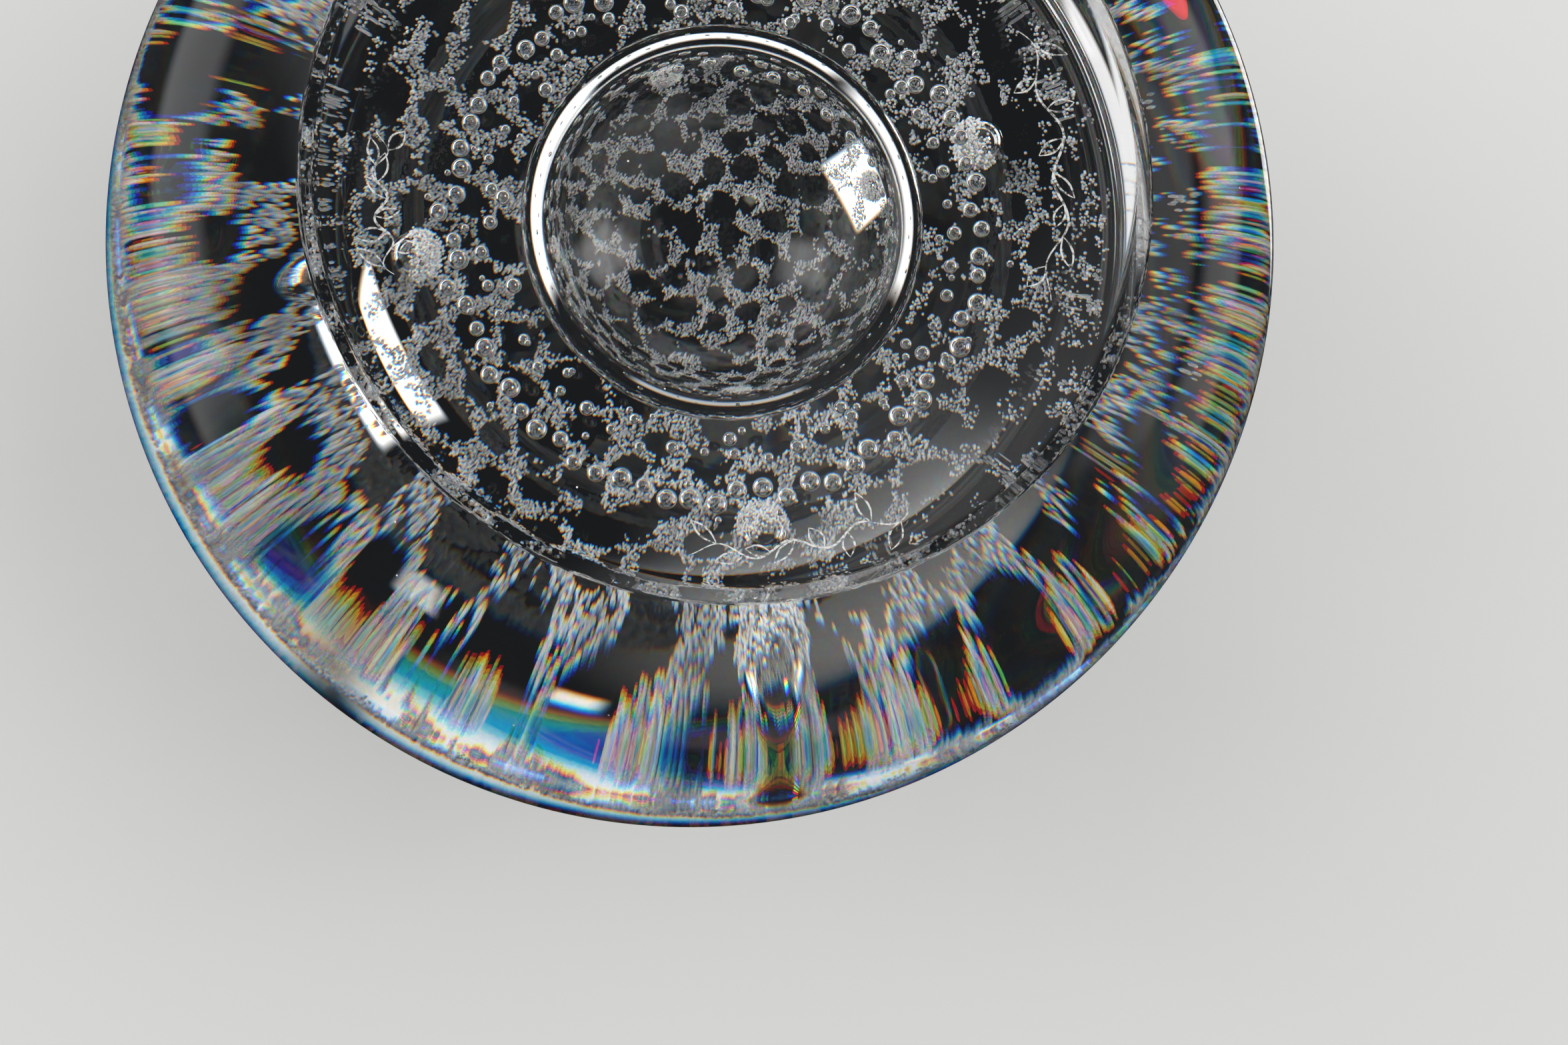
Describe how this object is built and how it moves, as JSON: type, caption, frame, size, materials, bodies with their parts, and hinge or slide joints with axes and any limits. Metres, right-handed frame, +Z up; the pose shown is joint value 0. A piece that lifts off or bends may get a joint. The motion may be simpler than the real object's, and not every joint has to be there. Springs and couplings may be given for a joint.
{
  "type": "glass paperweight",
  "caption": "Clear glass dome paperweight on a hollow-ground foot, with a large central air bubble, a ring of small bubbles and a veil of white lace cased inside.",
  "frame": {"origin": "centre of the foot ring, on the surface that the paperweight stands on", "axes": "+Z up along the axis of the dome; the core lies off that axis 9 degrees to the +Y side of +X, and one accent bubble stands 21 degrees to the -Y side of +X"},
  "size_m": [0.078, 0.078, 0.059],
  "materials": {
    "casing_glass": "fire-polished dome, ground and polished foot",
    "core_glass": "clear crystal, polished recess",
    "bubble_wall": "bright wall of a trapped air bubble",
    "lace": "white effervescent lace, granular",
    "frost": "frosted white, granular"
  },
  "bodies": {
    "root": {"outer_casing": "casing_glass", "core_gather": "core_glass", "central_bubble": "bubble_wall", "lace_crown": "lace", "lace_hem": "lace", "ring_bubbles_main": "bubble_wall", "ring_bubbles_inner": "bubble_wall", "satellite_bubbles": "bubble_wall", "seed_bubbles": "bubble_wall", "accent_bubbles": "bubble_wall", "accent_frost": "frost"}
  },
  "joints": []
}
